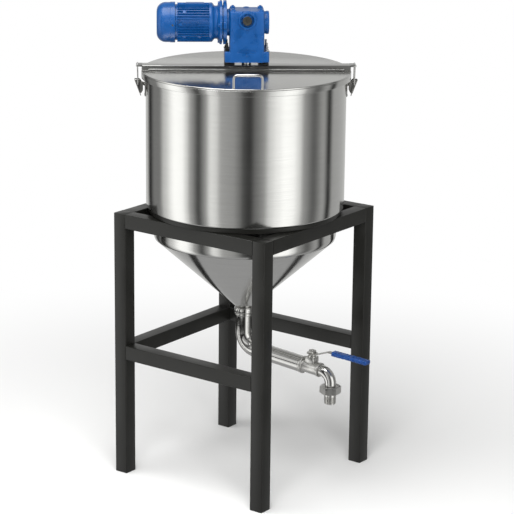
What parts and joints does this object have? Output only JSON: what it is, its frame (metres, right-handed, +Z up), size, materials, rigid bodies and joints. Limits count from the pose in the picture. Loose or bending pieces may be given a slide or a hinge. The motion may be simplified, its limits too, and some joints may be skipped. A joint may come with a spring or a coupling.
{
  "type": "mixing tank",
  "caption": "Jacketed steel mixing tank with a cone bottom on a square tube stand, with hinged half lids, a bridge with a worm gearmotor, latches and a lever valve drain.",
  "frame": {"origin": "middle of the footprint that the whole object covers, on the floor; the tank's own axis stands 84.0 mm behind it", "axes": "+Z up, -Y the side that the drain and its lever point to, +X to the right when facing that side"},
  "size_m": [0.71, 0.878, 1.6615],
  "materials": {
    "brushed_steel": "satin, brushed round the shell",
    "polished_steel": "polished",
    "dark_paint": "satin charcoal paint",
    "blue_paint": "semi-gloss blue paint on castings",
    "blue_vinyl": "dipped vinyl sleeve",
    "black_plug": "matte"
  },
  "bodies": {
    "tank": {"bridge_beam": "brushed_steel", "bridge_tip_left": "brushed_steel", "bridge_tip_right": "brushed_steel", "drain_collar": "brushed_steel", "drain_pipe": "brushed_steel", "fan_cover": "blue_paint", "gearbox_foot_left": "dark_paint", "gearbox_foot_right": "dark_paint", "gearbox_housing": "blue_paint", "input_flange": "blue_paint", "jacket_floor": "brushed_steel", "jacket_wall": "brushed_steel", "left_latch_base": "brushed_steel", "leg_back_left": "dark_paint", "leg_back_right": "dark_paint", "leg_front_left": "dark_paint", "leg_front_right": "dark_paint", "lower_rail_back": "dark_paint", "lower_rail_left": "dark_paint", "lower_rail_right": "dark_paint", "mixing_paddle": "polished_steel", "mixing_shaft": "polished_steel", "motor_body": "blue_paint", "oil_plug": "black_plug", "outlet_elbow": "brushed_steel", "outlet_nipple": "brushed_steel", "right_latch_base": "brushed_steel", "rim_band": "brushed_steel", "support_ring": "dark_paint", "terminal_box": "blue_paint", "top_beam_back": "dark_paint", "top_beam_front": "dark_paint", "top_beam_left": "dark_paint", "top_beam_right": "dark_paint", "union_nut": "brushed_steel", "valve_body": "brushed_steel", "valve_bonnet": "brushed_steel", "vessel_cone": "brushed_steel", "vessel_wall": "brushed_steel", "worm_cover": "blue_paint"},
    "front_lid": {"front_lid": "brushed_steel", "front_handle": "polished_steel"},
    "back_lid": {"back_lid": "brushed_steel", "back_handle": "polished_steel"},
    "valve_lever": {"valve_lever": "brushed_steel", "lever_grip": "blue_vinyl"},
    "left_latch_lever": {"left_latch_lever": "brushed_steel"},
    "left_latch_bail": {"left_latch_bail": "polished_steel"},
    "right_latch_lever": {"right_latch_lever": "brushed_steel"},
    "right_latch_bail": {"right_latch_bail": "polished_steel"}
  },
  "joints": [
    {"name": "front_lid_lift", "type": "hinge", "parent": "tank", "child": "front_lid", "pos_m": [-0.02215, 0.06602, 1.4318], "axis": [-0.6293, 0.7771, 0], "range_deg": [0, 45]},
    {"name": "back_lid_lift", "type": "hinge", "parent": "tank", "child": "back_lid", "pos_m": [0.02215, 0.1019, 1.4318], "axis": [0.6293, -0.7771, 0], "range_deg": [0, 45]},
    {"name": "right_latch_turn", "type": "hinge", "parent": "tank", "child": "right_latch_lever", "pos_m": [0.23033, -0.20047, 1.386], "axis": [-0.7771, -0.6293, 0], "range_deg": [0, 90]},
    {"name": "right_bail_swing", "type": "hinge", "parent": "right_latch_lever", "child": "right_latch_bail", "pos_m": [0.23033, -0.20047, 1.377], "axis": [-0.7771, -0.6293, 0], "range_deg": [-116, 0]},
    {"name": "left_latch_turn", "type": "hinge", "parent": "tank", "child": "left_latch_lever", "pos_m": [-0.23033, 0.36839, 1.386], "axis": [0.7771, 0.6293, 0], "range_deg": [0, 90]},
    {"name": "left_bail_swing", "type": "hinge", "parent": "left_latch_lever", "child": "left_latch_bail", "pos_m": [-0.23033, 0.36839, 1.377], "axis": [0.7771, 0.6293, 0], "range_deg": [-116, 0]},
    {"name": "valve_lever_turn", "type": "hinge", "parent": "tank", "child": "valve_lever", "pos_m": [0, -0.20939, 0.4756], "axis": [0, -0.0698, 0.9976], "range_deg": [0, 90]}
  ],
  "couplings": [
    {"joint": "right_bail_swing", "follows": "right_latch_turn", "ratio": -1.2778},
    {"joint": "left_bail_swing", "follows": "left_latch_turn", "ratio": -1.2778}
  ]
}
